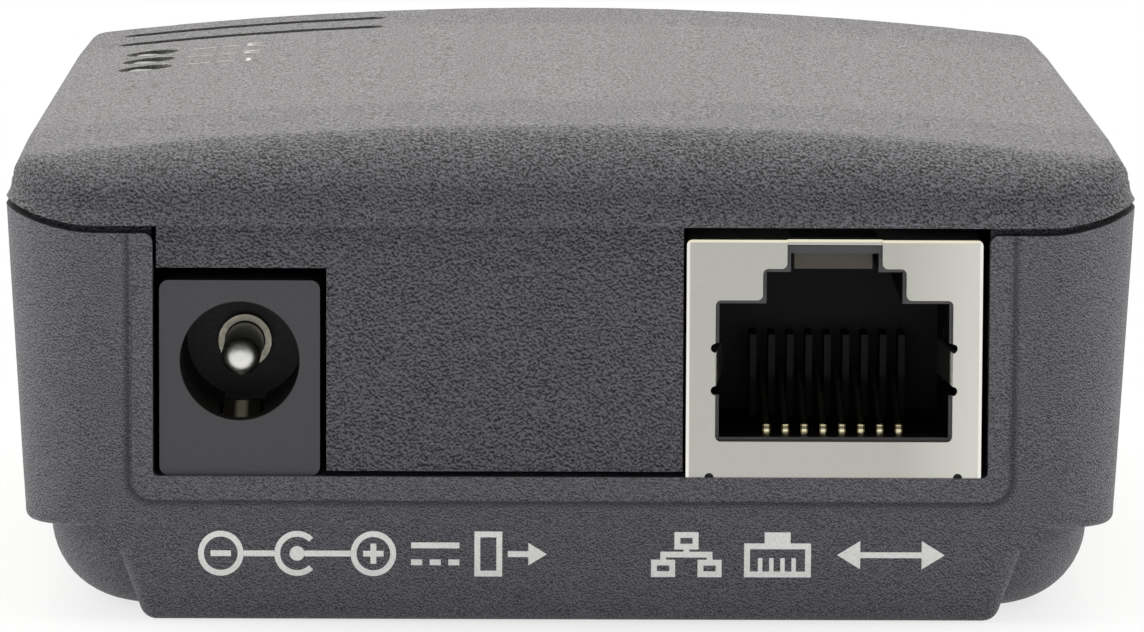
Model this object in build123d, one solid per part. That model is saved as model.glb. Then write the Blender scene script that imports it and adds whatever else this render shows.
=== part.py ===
from build123d import *
from math import cos, radians, sin, sqrt, tan
import os

# Power-over-Ethernet splitter: a two-part moulded case around a circuit board,
# with a DC power jack and a data jack at the output end and a network jack at
# the input end. Millimetres. The origin is under the middle of the case, +X is
# to the right seen from the output end, the output end is at -Y, +Z is up.

# Case, outside
case_length = 82.0
case_width = 61.0
corner_radius = 5.3
crown_radius = 250.0
crease_setback = 17.0
strip_drop = 0.12

# Seam between the cover and the base: level along the ends, turned up at the corners
seam_over_jack = 0.25
seam_rise = 1.1
seam_gap = 0.4

# Cover, above the seam
cover_rise = 5.6
cover_set_in = 0.8
cover_side_set_in = 0.35
cover_roll_depth = 3.8
cover_roll_lift = 1.6
side_roll_radius = 1.0
corner_roll_gain = 1.2
lip_end_height = 1.25
lip_side_height = 1.0
cover_top_wall = 2.0
cover_side_wall = 1.65
roll_stations = 9
flattest_crown = 0.05
least_roll = 0.25
lip_corner_steps = 4
lip_top_step = 0.06
lip_head_inset = 1.7
lip_head_lift = 3.3
lip_foot_share = -0.4
lip_shares = (0, 0.14, 0.29, 0.46, 0.68, 1.0)
lip_tuck_share = 1.3
lip_tuck_depth = 0.2

# Base
base_wall = 2.0
end_draft = 1.0
side_draft = 3.7
ledge_height = 5.1
ledge_corner_radius = 3.4
ledge_edge_radius = 0.5
pan_side_step = 1.1
pan_end_step = 1.7
pan_corner_radius = 6.5
pan_edge_radius = 4.5
ledge_wall = 1.2
floor_thickness = 1.8
pocket_edge_radius = 2.5

# Lap rim: the cover's inner edge reaches down behind the top of the base
rim_thickness = 0.9
rim_clearance = 0.1
rim_depth = 1.5

# Bib: the end wall carried down to the table between the pan's corners
bib_margin = 0.8
bib_taper = 1.4
bib_flare = 1.2
bib_overlap = 0.3
bib_corner_radius = 0.9
bib_edge_radius = 0.8

# Pad: flat upright frame round each end's sockets
pad_margin = 1.1
pad_foot_lift = 0.3
pad_corner_radius = 1.2

# Sockets in the end walls
window_margin = 0.375
window_foot_radius = 0.3
window_corner_radius = 0.5

# Tongue: the panel of the cover that fills the output window
tongue_side_gap = 0.175
tongue_gap = 0.2
tongue_foot_gap = 0.3
tongue_set_back = 0.15
tongue_thickness = 1.9
tongue_root = 0.15
tongue_jack_gap = 0.35
tongue_top_gap = 0.7

# Circuit board, seated on the step between the case's walls and the pan
board_thickness = 1.6
board_clearance = 0.25

# Case screws, driven from below through the board into the cover's posts
screw_end_setback = 11.0
screw_shank_radius = 1.3
screw_head_radius = 2.5
screw_head_height = 1.6
screw_length = 14.0
screw_point = 1.2
screw_slot_width = 0.7
screw_slot_depth = 0.8
screw_passing_clearance = 0.2
screw_thread_clearance = 0.02
screw_recess_depth = 3.2
screw_recess_clearance = 0.4
boss_wall = 1.5
post_radius = 3.2
post_relief = 1.0

# Vents and lamps in the cover
vent_width = 1.8
vent_length = 16.4
vent_inset = 3.0
vent_setback = 10.0
vent_pitch = 6.8
vent_count = 2
lamp_radius = 1.5
lamp_dome_radius = 0.9
lamp_inset = 5.45
lamp_setback = 24.3
lamp_pitch = 4.9
lamp_count = 3
lamp_clearance = 0.1
lamp_length = 5.2
lamp_flange_radius = 1.9
lamp_flange_height = 1.0
lamp_recess = 0.12
lead_size = 0.5
lead_pitch = 2.54

# DC power jack
dc_inset = 12.75
dc_width = 8.6
dc_height = 10.55
dc_depth = 14.2
dc_set_back = 0.35
dc_edge_radius = 0.5
dc_bore_radius = 3.2
dc_bore_height = 6.2
dc_bore_depth = 9.6
dc_pin_radius = 1.05
dc_pin_tip_radius = 0.84
dc_pin_set_back = 1.3
dc_collar_radius = 1.45
dc_collar_length = 1.2
dc_pin_clearance = 0.02
dc_rivet_radius = 1.8
dc_rivet_thickness = 0.5
dc_leaf_width = 2.0
dc_leaf_thickness = 0.3
dc_leaf_slot_clearance = 0.15
dc_leaf_lift = 0.45
dc_leaf_root_height = 2.5
dc_leaf_leg_setback = 1.2
dc_leaf_bump_depth = 3.6
dc_leaf_nose_depth = 1.8
dc_terminal_width = 3.0
dc_terminal_thickness = 0.4

# Modular jacks, 8 contacts, shielded
jack_inset = 16.4
jack_width = 15.85
jack_height = 12.85
jack_depth = 18.0
jack_set_back = 0.1
shield_thickness = 0.3
shield_clearance = 0.05
mouth_foot = 1.95
mouth_width = 12.73
mouth_height = 7.64
mouth_step_width = 7.69
mouth_step_height = 1.7
mouth_notch_width = 5.1
mouth_corner_radius = 0.3
relief_radius = 0.25
relief_lower = 4.7
relief_upper = 7.0
side_spring_depth = 6.0
side_spring_lean = 0.55
foot_notch_reach = 6.67
latch_spring_width = 4.2
latch_spring_depth = 2.2
latch_spring_drop = 1.5
insert_lip = 0.2
cavity_depth = 11.5
latch_recess_depth = 8.0
latch_web_height = 0.4
latch_web_depth = 1.2
contact_count = 8
contact_pitch = 1.016
contact_width = 0.4
contact_thickness = 0.25
contact_slot_clearance = 0.06
contact_front = 1.6
contact_back = 15.5
contact_run_height = 0.55
contact_turn_height = 2.6
contact_tip_height = 4.6
contact_tip_depth = 10.2
contact_bend_radius = 0.35
comb_depth = 2.6
comb_height = 6.6
comb_rib_width = 0.36

# Power transformer
core_width = 20.0
core_depth = 6.0
core_yoke = 2.4
core_leg_width = 5.0
core_window_height = 7.6
core_lift = 1.6
bobbin_wall = 0.8
bobbin_depth = 15.0
bobbin_rail = 3.0
winding_depth = 13.2
winding_gap = 0.15

# Other parts on the board
package_chamfer = 0.3
pulse_wall_gap = 1.2
pulse_size = (12.7, 9.6, 5.8)
pulse_leg_count = 8
input_capacitor_wall_gap = 0.8
input_capacitor_radius = 5.0
input_capacitor_height = 12.5
output_capacitor_radius = 4.0
output_capacitor_height = 11.5
output_capacitor_count = 2
capacitor_crimp_depth = 0.4
capacitor_crimp_height = 1.6
capacitor_edge_radius = 0.5
jack_neighbour_gap = 1.0
inductor_radius = 4.5
inductor_height = 6.5
inductor_flange = 1.2
inductor_neck_radius = 2.2
inductor_wire_radius = 3.9
bridge_size = (6.2, 4.6, 2.5)
bridge_count = 2
bridge_leg_size = (0.6, 1.1, 0.5)
bridge_leg_pitch = 3.6
bridge_leg_count = 2
chip_size = (10.3, 7.5, 2.3)
chip_leg_count = 8
chip_leg_pitch = 1.27
chip_leg_size = (0.42, 1.3, 0.3)
transistor_lead_gap = 1.0
transistor_size = (6.6, 6.1, 2.3)
transistor_tab = (5.3, 1.6, 0.5)
rectifier_size = (7.0, 5.9, 2.4)
chip_part_size = (2.0, 1.25, 0.6)
chip_part_pitch_x = 4.0
chip_part_pitch_y = 3.2
chip_part_count = 3

# How far a cutting shape runs past what it cuts
cut_past = 1.0



def spread(low, high, sizes):
    """Middles of things set in a row between two limits with equal gaps."""
    gap = (high - low - sum(sizes)) / (len(sizes) + 1)
    middles = []
    for size in sizes:
        low += gap
        middles.append(low + size / 2)
        low += size
    return middles


# Levels worked out from the sizes above
board_underside = ledge_height + ledge_wall
board_top = board_underside + board_thickness
pad_foot = board_underside + pad_foot_lift
seam_height = board_top + jack_height + seam_over_jack
side_seam_height = seam_height + seam_rise
cover_roll_foot = seam_height + cover_roll_lift
lip_head_height = seam_height + lip_head_lift
case_height = seam_height + cover_rise

# Outlines worked out from the sizes above
half_length = case_length / 2
half_width = case_width / 2
corner_centre_x = half_width - corner_radius
seam_turn_radius = (corner_radius ** 2 + seam_rise ** 2) / (2 * seam_rise)
ledge_half_width = half_width - (side_seam_height - ledge_height) * tan(radians(side_draft))
ledge_half_length = half_length - (seam_height - ledge_height) * tan(radians(end_draft))
pan_half_width = ledge_half_width - pan_side_step
pan_half_length = ledge_half_length - pan_end_step
inner_x = half_width - (side_seam_height - board_underside) * tan(radians(side_draft)) - base_wall
inner_y = half_length - (seam_height - board_underside) * tan(radians(end_draft)) - base_wall
far = 2 * max(case_length, case_width, case_height)

# Sockets, and the windows, pads and bibs round them
dc_x = -half_width + dc_inset
dc_leaf_leg_depth = dc_depth - dc_leaf_leg_setback
dc_back = -half_length + dc_set_back + dc_depth + dc_terminal_thickness + dc_rivet_thickness
jack_x = half_width - jack_inset
jack_left = jack_x - jack_width / 2
jack_back = half_length - jack_set_back - jack_depth
window_half_width = jack_x + jack_width / 2 + window_margin
pad_half_width = window_half_width + pad_margin
bib_top_half_width = pad_half_width + bib_margin
bib_bottom_half_width = bib_top_half_width - bib_taper

# Screws, lamps and vents
screw_x = (dc_x + dc_width / 2 + jack_left) / 2
screw_y = half_length - screw_end_setback
lamp_x = -half_width + lamp_inset
lamp_last = half_length - lamp_setback
lamp_places = [lamp_last - lamp_pitch * number for number in reversed(range(lamp_count))]
vent_left = -half_width + vent_inset
vent_right = vent_left + vent_length
vent_last = half_length - vent_setback
vent_places = [vent_last - vent_pitch * number for number in reversed(range(vent_count))]

# Left column on the board: output cans, transistor and bridges, with the input can in the corner
left_x = lamp_x + transistor_lead_gap + transistor_size[0] / 2
input_capacitor_x = -inner_x + input_capacitor_wall_gap + input_capacitor_radius
input_capacitor_y = inner_y - input_capacitor_wall_gap - input_capacitor_radius
left_sizes = [2 * output_capacitor_radius] * output_capacitor_count
left_sizes += [transistor_size[1] + transistor_tab[1]]
left_sizes += [bridge_size[1] + 2 * bridge_leg_size[1]] * bridge_count
left_ys = spread(dc_back, input_capacitor_y - input_capacitor_radius, left_sizes)
output_capacitor_ys = left_ys[:output_capacitor_count]
transistor_y = left_ys[output_capacitor_count] - transistor_tab[1] / 2
bridge_ys = left_ys[output_capacitor_count + 1:]

# Right column: rectifier, small parts and pulse transformer, between the two jacks
right_x = inner_x - pulse_wall_gap - pulse_size[0] / 2
chip_grid_length = (chip_part_count - 1) * chip_part_pitch_y + chip_part_size[1]
right_sizes = [rectifier_size[1], chip_grid_length, pulse_size[1] + 2 * chip_leg_size[1]]
rectifier_y, chip_grid_y, pulse_y = spread(-jack_back, jack_back, right_sizes)

# Middle column: inductor, power transformer and controller chip, between the two screw posts
core_x = (left_x + transistor_size[0] / 2 + right_x - pulse_size[0] / 2) / 2
inductor_x = jack_left - jack_neighbour_gap - inductor_radius
chip_x = jack_left - jack_neighbour_gap - chip_size[0] / 2
middle_sizes = [2 * inductor_radius, bobbin_depth, chip_size[1] + 2 * chip_leg_size[1]]
inductor_y, core_y, chip_y = spread(post_radius - screw_y, screw_y - post_radius, middle_sizes)


def block(x0, x1, y0, y1, z0, z1):
    """A plain box between two corners."""
    middle = Pos((x0 + x1) / 2, (y0 + y1) / 2, (z0 + z1) / 2)
    return middle * Box(x1 - x0, y1 - y0, z1 - z0)


def upright(x, y, z0, z1, radius):
    """A cylinder standing on z0."""
    return Pos(x, y, (z0 + z1) / 2) * Cylinder(radius, z1 - z0)


def along_y(x, z, y0, y1, radius):
    """A cylinder lying along Y."""
    return Pos(x, (y0 + y1) / 2, z) * Rot(90, 0, 0) * Cylinder(radius, y1 - y0)


def rounded_plate(width, length, radius, z0, z1):
    """A plate with rounded corners, centred on the case."""
    return extrude(Pos(0, 0, z0) * RectangleRounded(width, length, radius), z1 - z0)


def seam_lift(x):
    """How far the seam has turned up at a place across the case."""
    reach = max(0.0, abs(x) - corner_centre_x)
    return seam_turn_radius - sqrt(seam_turn_radius ** 2 - reach ** 2)


def below_seam(raise_by):
    """Everything below the seam surface, which is drawn across the case and run along it."""
    edge = half_width + 2 * cover_set_in
    level = seam_height + raise_by
    high = level + seam_lift(edge)
    middle = (edge + corner_centre_x) / 2
    turned = level + seam_lift(middle)
    left_turn = ThreePointArc((-edge, high), (-middle, turned), (-corner_centre_x, level))
    flat = Line((-corner_centre_x, level), (corner_centre_x, level))
    right_turn = ThreePointArc((corner_centre_x, level), (middle, turned), (edge, high))
    rest = Polyline((edge, high), (far, high), (far, -far), (-far, -far), (-far, high), (-edge, high))
    face = make_face(Plane.XZ * (left_turn + flat + right_turn + rest))
    return extrude(face, far, both=True)


def base_block(inset, foot, foot_radius, top_radius):
    """The tapered body of the base, or its hollow when set in from the outside."""
    top = side_seam_height + seam_rise
    grow_x = (top - foot) * tan(radians(side_draft))
    grow_y = (top - foot) * tan(radians(end_draft))
    foot_x = half_width - (side_seam_height - foot) * tan(radians(side_draft)) - inset
    foot_y = half_length - (seam_height - foot) * tan(radians(end_draft)) - inset
    lower = Pos(0, 0, foot) * RectangleRounded(2 * foot_x, 2 * foot_y, foot_radius)
    upper = Pos(0, 0, top) * RectangleRounded(2 * (foot_x + grow_x), 2 * (foot_y + grow_y), top_radius)
    return loft([lower, upper], ruled=True)


def bib(end):
    """The end wall's tongue down to the table, on the end at -Y or +Y."""
    face_y = half_length - seam_height * tan(radians(end_draft))
    inner_y = pan_half_length - pan_edge_radius
    top = ledge_height + ledge_edge_radius + bib_overlap
    wide = bib_top_half_width + bib_flare
    turn = ledge_height - bib_flare
    right = RadiusArc((wide, ledge_height), (bib_top_half_width, turn), bib_flare)
    left = mirror(right, Plane.YZ)
    slant = Polyline(
        (bib_top_half_width, turn),
        (bib_bottom_half_width, 0),
        (-bib_bottom_half_width, 0),
        (-bib_top_half_width, turn),
    )
    crown = Polyline((-wide, ledge_height), (-wide, top), (wide, top), (wide, ledge_height))
    outline = make_face(Plane.XZ * (right + slant + left + crown))
    body = Pos(0, -inner_y, 0) * extrude(outline, face_y - inner_y, dir=(0, -1, 0))
    lowest = body.edges().filter_by(Axis.Y).sort_by(Axis.Z)[:2]
    body = fillet(lowest, bib_corner_radius)
    front = body.faces().sort_by(Axis.Y)[0]
    foot_edges = [edge for edge in front.edges() if edge.center().Z < turn]
    body = fillet(foot_edges, bib_edge_radius)
    return body if end < 0 else Rot(0, 0, 180) * body


def pad(end):
    """The flat upright frame that the sockets open through."""
    outline = Pos(0, (pad_foot + case_height) / 2) * RectangleRounded(
        2 * pad_half_width, case_height - pad_foot, pad_corner_radius
    )
    body = extrude(Plane.XZ * outline, base_wall)
    return Pos(0, end * half_length + (base_wall if end < 0 else 0), 0) * body


def window(left, right, end):
    """The cut through an end wall from the board's top up, rounded outward where it meets the seam."""
    depth = base_wall + 2 * board_clearance + cut_past
    height = case_height - board_top
    turn = seam_height - window_corner_radius
    middle = (left + right) / 2
    outline = Pos(middle, board_top + height / 2) * RectangleRounded(right - left, height, window_foot_radius)
    flare = Pos(middle, (turn + case_height) / 2) * Rectangle(
        right - left + 2 * window_corner_radius, case_height - turn
    )
    for corner in (left - window_corner_radius, right + window_corner_radius):
        flare -= Pos(corner, turn) * Circle(window_corner_radius)
    outline += flare
    body = extrude(Plane.XZ * outline, 2 * depth)
    return Pos(0, end * half_length + depth, 0) * body


def screw_places():
    return [(screw_x, -screw_y), (screw_x, screw_y)]


def base_shell():
    """The lower half of the case: tapered walls, rounded pan, bibs, pads and screw bosses."""
    body = base_block(0, ledge_height, ledge_corner_radius, corner_radius)
    body = fillet(body.faces().sort_by(Axis.Z)[0].edges(), ledge_edge_radius)
    pan_top = ledge_height + ledge_edge_radius
    pan = rounded_plate(2 * pan_half_width, 2 * pan_half_length, pan_corner_radius, 0, pan_top)
    pan = fillet(pan.faces().sort_by(Axis.Z)[0].edges(), pan_edge_radius)
    body += pan
    for end in (-1, 1):
        body += bib(end)
        body += pad(end)
    inner_radius = corner_radius - base_wall
    hollow = base_block(base_wall, board_underside, inner_radius, inner_radius)
    pocket = rounded_plate(
        2 * (pan_half_width - base_wall),
        2 * (pan_half_length - base_wall),
        pan_corner_radius - base_wall,
        floor_thickness,
        board_underside + cut_past,
    )
    pocket = fillet(pocket.faces().sort_by(Axis.Z)[0].edges(), pocket_edge_radius)
    body -= hollow + pocket
    rebate_inset = base_wall - rim_thickness - rim_clearance
    rebate_floor = seam_height - rim_depth - rim_clearance
    rebate_radius = corner_radius - rebate_inset
    body -= base_block(rebate_inset, rebate_floor, rebate_radius, rebate_radius)
    boss_radius = screw_shank_radius + screw_passing_clearance + boss_wall
    recess_radius = screw_head_radius + screw_recess_clearance
    cup_radius = recess_radius + boss_wall
    for x, y in screw_places():
        body += upright(x, y, floor_thickness / 2, board_underside, boss_radius)
        body += upright(x, y, floor_thickness / 2, screw_recess_depth + boss_wall, cup_radius)
        body -= upright(x, y, -cut_past, screw_recess_depth, recess_radius)
        shank_top = board_underside + cut_past
        body -= upright(x, y, -cut_past, shank_top, screw_shank_radius + screw_passing_clearance)
    body -= window(-window_half_width, window_half_width, -1)
    jack_reach = jack_width / 2 + window_margin
    body -= window(jack_x - jack_reach, jack_x + jack_reach, 1)
    return body & below_seam(0)


def crown_face(half, drop, foot):
    """A section across the case under the crown, lowered by a drop."""
    top = case_height - drop
    edge = top - crown_radius + sqrt(crown_radius ** 2 - half ** 2)
    arch = ThreePointArc((-half, edge), (0, top), (half, edge))
    rest = Polyline((half, edge), (half, foot), (-half, foot), (-half, edge))
    return make_face(Plane.XZ * (arch + rest))


def dome_section(depth, top_fraction, foot):
    """The cover's outline across the case at a depth behind the foot of its end roll."""
    radius = corner_radius - cover_set_in
    short = max(0.0, radius - depth) / radius
    half = corner_centre_x + (corner_radius - cover_side_set_in) * sqrt(1 - short ** 2)
    strip = min(1.0, depth / (crease_setback - cover_set_in))
    top = cover_roll_foot + top_fraction * (case_height - strip_drop * (1 - strip) - cover_roll_foot)
    drop = (crown_radius - sqrt(crown_radius ** 2 - half ** 2)) * max(flattest_crown, top_fraction)
    arch = ThreePointArc((-half, top - drop), (0, top), (half, top - drop))
    rest = Polyline((half, top - drop), (half, foot), (-half, foot), (-half, top - drop))
    face = make_face(arch + rest)
    shoulders = face.vertices().sort_by(Axis.Y)[-2:]
    roll = top_fraction * (side_roll_radius + corner_roll_gain * short)
    face = fillet(shoulders, max(least_roll, roll))
    place = Plane.XZ.offset(half_length - cover_set_in - depth)
    return place * face


def dome():
    """The crowned body of the cover with its rolled ends and shoulders."""
    foot = seam_height - cut_past
    sections = []
    for station in range(roll_stations + 1):
        angle = radians(90 * station / roll_stations)
        sections.append(dome_section(cover_roll_depth * (1 - cos(angle)), sin(angle), foot))
    crease = dome_section(crease_setback - cover_set_in, 1, foot)
    roll = loft(sections)
    strip = loft([sections[-1], crease], ruled=True)
    middle = extrude(crease, half_length - crease_setback, dir=(0, 1, 0))
    half = roll + strip + middle
    return half + mirror(half, Plane.XZ)


def lip_corner(side_inset, end_inset, share, across, along):
    """One corner of a level of the lip, as a smooth rising curve."""
    points = []
    for step in range(lip_corner_steps + 1):
        angle = radians(90 * step / lip_corner_steps)
        x = corner_centre_x + (corner_radius - side_inset) * cos(angle)
        y = half_length - corner_radius + (corner_radius - end_inset) * sin(angle)
        points.append((across * x, along * y, lip_level(x, share)))
    return Spline(points, tangents=[(0, along, 0), (-across, 0, 0)])


def lip_level(x, share):
    """The height of a level of the lip, as a share of the way up its cove."""
    lift = seam_lift(min(x, half_width))
    height = lip_end_height - (lip_end_height - lip_side_height) * lift / seam_rise
    return seam_height + seam_gap + lift + share * height


def lip_inset(share, set_in):
    """How far a level of the lip is set in; its cove is upright where it meets the wall."""
    return (set_in - lip_top_step) * (1 - (1 - share) ** 2)


def lip_wire(share, side_inset, end_inset):
    """A closed level of the lip: four straight runs joined by four rising corners."""
    corners = [
        lip_corner(side_inset, end_inset, share, 1, 1),
        lip_corner(side_inset, end_inset, share, -1, 1),
        lip_corner(side_inset, end_inset, share, -1, -1),
        lip_corner(side_inset, end_inset, share, 1, -1),
    ]
    x = half_width - side_inset
    y = half_length - end_inset
    side_z = lip_level(x, share)
    end_z = lip_level(0, share)
    end_y = half_length - corner_radius
    runs = [
        Line((corner_centre_x, y, end_z), (-corner_centre_x, y, end_z)),
        Line((-x, end_y, side_z), (-x, -end_y, side_z)),
        Line((-corner_centre_x, -y, end_z), (corner_centre_x, -y, end_z)),
        Line((x, -end_y, side_z), (x, end_y, side_z)),
    ]
    order = [corners[0], runs[0], corners[1], runs[1], corners[2], runs[2], corners[3], runs[3]]
    return Wire([piece.edge() for piece in order])


def lip():
    """The flared foot of the cover, a hollow-curved band that rises at the corners with the seam."""
    wires = []
    for share in (lip_foot_share, *lip_shares):
        wires.append(lip_wire(share, lip_inset(share, cover_side_set_in), lip_inset(share, cover_set_in)))
    tuck = lip_wire(lip_tuck_share, cover_side_set_in + lip_tuck_depth, cover_set_in + lip_tuck_depth)
    foot = plan_wire(lip_inset(lip_foot_share, cover_set_in), seam_height - cut_past)
    head = plan_wire(lip_head_inset, lip_head_height)
    return Solid.make_loft([foot] + wires + [tuck, head], ruled=True)


def plan_wire(inset, height):
    """The case's plan outline, set in, at one height."""
    outline = RectangleRounded(case_width - 2 * inset, case_length - 2 * inset, corner_radius - inset)
    return (Pos(0, 0, height) * outline).face().outer_wire()


def cover_hollow():
    """The space inside the cover, under a crown lowered by the top wall."""
    half = half_width - cover_side_set_in - cover_side_wall
    radius = corner_radius - cover_side_set_in - cover_side_wall
    foot = seam_height - 2 * rim_depth
    plan = rounded_plate(2 * half, 2 * (half_length - base_wall), radius, foot, case_height)
    ceiling = crown_face(half_width, cover_top_wall, seam_height - 3 * rim_depth)
    return plan & extrude(ceiling, far, both=True)


def lap_rim():
    """The rim that reaches down inside the base, cut away across the sockets."""
    outer = base_wall - rim_thickness
    foot = seam_height - rim_depth
    ring = base_block(outer, foot, corner_radius - outer, corner_radius - outer)
    ring -= cover_hollow()
    reach = window_half_width + rim_clearance
    top = seam_height + seam_gap
    front = block(-reach, reach, -half_length, -half_length + 2 * base_wall, foot - cut_past, top)
    jack_reach = jack_width / 2 + window_margin + rim_clearance
    left = jack_x - jack_reach
    right = jack_x + jack_reach
    rear = block(left, right, half_length - 2 * base_wall, half_length, foot - cut_past, top)
    return ring - front - rear


def tongue():
    """The flat panel that hangs from the cover's lip between and above the jacks."""
    left = -window_half_width + tongue_gap
    face = -half_length + tongue_set_back
    foot = board_top + tongue_foot_gap
    top = seam_height + seam_gap + tongue_root
    panel = block(left, jack_left - tongue_side_gap, face, face + tongue_thickness, foot, top)
    right_of_jack = dc_x + dc_width / 2 + tongue_jack_gap
    above_jack = board_top + dc_height + tongue_top_gap
    front = face - cut_past
    back = face + tongue_thickness + cut_past
    return panel - block(left - cut_past, right_of_jack, front, back, foot - cut_past, above_jack)


def vent(y):
    """One long slot with rounded ends through the cover."""
    slot = Pos((vent_left + vent_right) / 2, y, seam_height) * SlotOverall(vent_length, vent_width)
    return extrude(slot, case_height)


def top_cover():
    """The crowned upper half of the case, with its lip, rim, tongue, posts, vents and lamp holes."""
    body = dome() + lip() - below_seam(seam_gap)
    body -= cover_hollow()
    body += lap_rim()
    body += tongue()
    ceiling = extrude(crown_face(half_width, cover_top_wall / 2, 0), far, both=True)
    for x, y in screw_places():
        body += upright(x, y, board_top, case_height, post_radius) & ceiling
        pilot_top = screw_tip_height() + post_relief
        pilot_radius = screw_shank_radius + screw_thread_clearance
        body -= upright(x, y, board_top - cut_past, pilot_top, pilot_radius)
    for y in vent_places:
        body -= vent(y)
    for y in lamp_places:
        hole_top = case_height + cut_past
        body -= upright(lamp_x, y, seam_height, hole_top, lamp_radius + lamp_clearance)
    return body


def screw_tip_height():
    return screw_recess_depth + screw_length


def case_screws():
    """Two pan-head screws, point up."""
    screws = []
    for x, y in screw_places():
        head = upright(x, y, screw_recess_depth - screw_head_height, screw_recess_depth, screw_head_radius)
        head = fillet(head.edges().sort_by(Axis.Z)[0], screw_head_height / 2)
        slot_top = screw_recess_depth - screw_head_height + screw_slot_depth
        for across, along in ((screw_head_radius, screw_slot_width), (screw_slot_width, screw_head_radius)):
            head -= block(x - across / 2, x + across / 2, y - along / 2, y + along / 2, 0, slot_top)
        shank = upright(x, y, screw_recess_depth, screw_tip_height() - screw_point, screw_shank_radius)
        point = Pos(x, y, screw_tip_height() - screw_point / 2) * Cone(
            screw_shank_radius, screw_shank_radius / 3, screw_point
        )
        screws.append(head + shank + point)
    return screws


def circuit_board():
    """The board, with clearance holes for the case screws."""
    board = rounded_plate(
        2 * (inner_x - board_clearance),
        2 * (inner_y - board_clearance),
        corner_radius - base_wall,
        board_underside,
        board_top,
    )
    for x, y in screw_places():
        board -= upright(x, y, 0, case_height, screw_shank_radius + screw_passing_clearance)
    return board


def strip(points, bend_radius, thickness, width, place):
    """A flat strip bent along a path of depth and height, centred across its width."""
    path = FilletPolyline(points, radius=bend_radius)
    face = Plane.YZ * trace(path, thickness)
    return place * extrude(face, width / 2, both=True)


def dc_place():
    """The DC jack's own frame: depth from its face along Y, height from the board's top."""
    return Pos(dc_x, -half_length + dc_set_back, board_top)


def dc_jack_housing():
    """The jack's moulded body, bored for the plug and slotted for the leaf contact."""
    place = dc_place()
    body = block(-dc_width / 2, dc_width / 2, 0, dc_depth, 0, dc_height)
    body = fillet(body.edges().filter_by(Axis.Y), dc_edge_radius)
    body -= along_y(0, dc_bore_height, -cut_past, dc_bore_depth, dc_bore_radius)
    body -= along_y(0, dc_bore_height, 0, dc_depth + cut_past, dc_pin_radius + dc_pin_clearance)
    half = dc_leaf_width / 2 + dc_leaf_slot_clearance
    floor = dc_leaf_root_height - dc_leaf_thickness
    nose_front = dc_leaf_nose_depth - 2 * dc_leaf_thickness
    body -= block(-half, half, nose_front, dc_bore_depth, floor, dc_bore_height)
    roof = dc_leaf_root_height + dc_leaf_thickness
    leg_front = dc_leaf_leg_depth - dc_leaf_thickness
    leg_back = dc_leaf_leg_depth + dc_leaf_thickness
    body -= block(-half, half, dc_bore_depth - cut_past, leg_back, floor, roof)
    body -= block(-half, half, leg_front, leg_back, -cut_past, roof)
    return place * body


def dc_jack_centre_pin():
    """The centre pin, with its collar on the bore's floor and its riveted tail."""
    length = dc_depth + dc_terminal_thickness
    pin = along_y(0, dc_bore_height, dc_pin_set_back, length, dc_pin_radius)
    pin = fillet(pin.edges().sort_by(Axis.Y)[0], dc_pin_tip_radius)
    pin += along_y(0, dc_bore_height, dc_bore_depth - dc_collar_length, dc_bore_depth, dc_collar_radius)
    pin += along_y(0, dc_bore_height, length, length + dc_rivet_thickness, dc_rivet_radius)
    return dc_place() * pin


def dc_jack_leaf():
    """The sprung leaf that meets the outside of the plug."""
    points = [
        (dc_leaf_leg_depth, 0),
        (dc_leaf_leg_depth, dc_leaf_root_height),
        (dc_bore_depth - cut_past, dc_leaf_root_height),
        (dc_leaf_bump_depth, dc_bore_height - dc_bore_radius + dc_leaf_lift),
        (dc_leaf_nose_depth, dc_leaf_root_height),
    ]
    return strip(points, dc_leaf_thickness, dc_leaf_thickness, dc_leaf_width, dc_place())


def dc_jack_terminal():
    """The plate riveted to the back of the jack that carries the centre pin to the board."""
    half = dc_terminal_width / 2
    top = dc_bore_height + half
    plate = block(-half, half, dc_depth, dc_depth + dc_terminal_thickness, 0, top)
    plate -= along_y(0, dc_bore_height, 0, 2 * dc_depth, dc_pin_radius + dc_pin_clearance)
    return dc_place() * plate


def jack_place(end):
    """A modular jack's own frame at either end: depth from its face, height from the board."""
    place = Pos(jack_x, end * (half_length - jack_set_back), board_top)
    return place if end < 0 else place * Rot(0, 0, 180)


def mouth(shrink, depth0, depth1, notch_top, notch_depth):
    """The stepped opening of a modular jack: plug, step and latch notch."""
    floor = mouth_foot + shrink
    main_top = mouth_foot + mouth_height - shrink
    step_top = main_top + mouth_step_height
    half_main = mouth_width / 2 - shrink
    opening = block(-half_main, half_main, depth0, depth1, floor, main_top)
    half_step = mouth_step_width / 2 - shrink
    opening += block(-half_step, half_step, depth0, depth1, floor, step_top)
    half_notch = mouth_notch_width / 2 - shrink
    opening += block(-half_notch, half_notch, depth0, notch_depth, floor, notch_top)
    return opening


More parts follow.
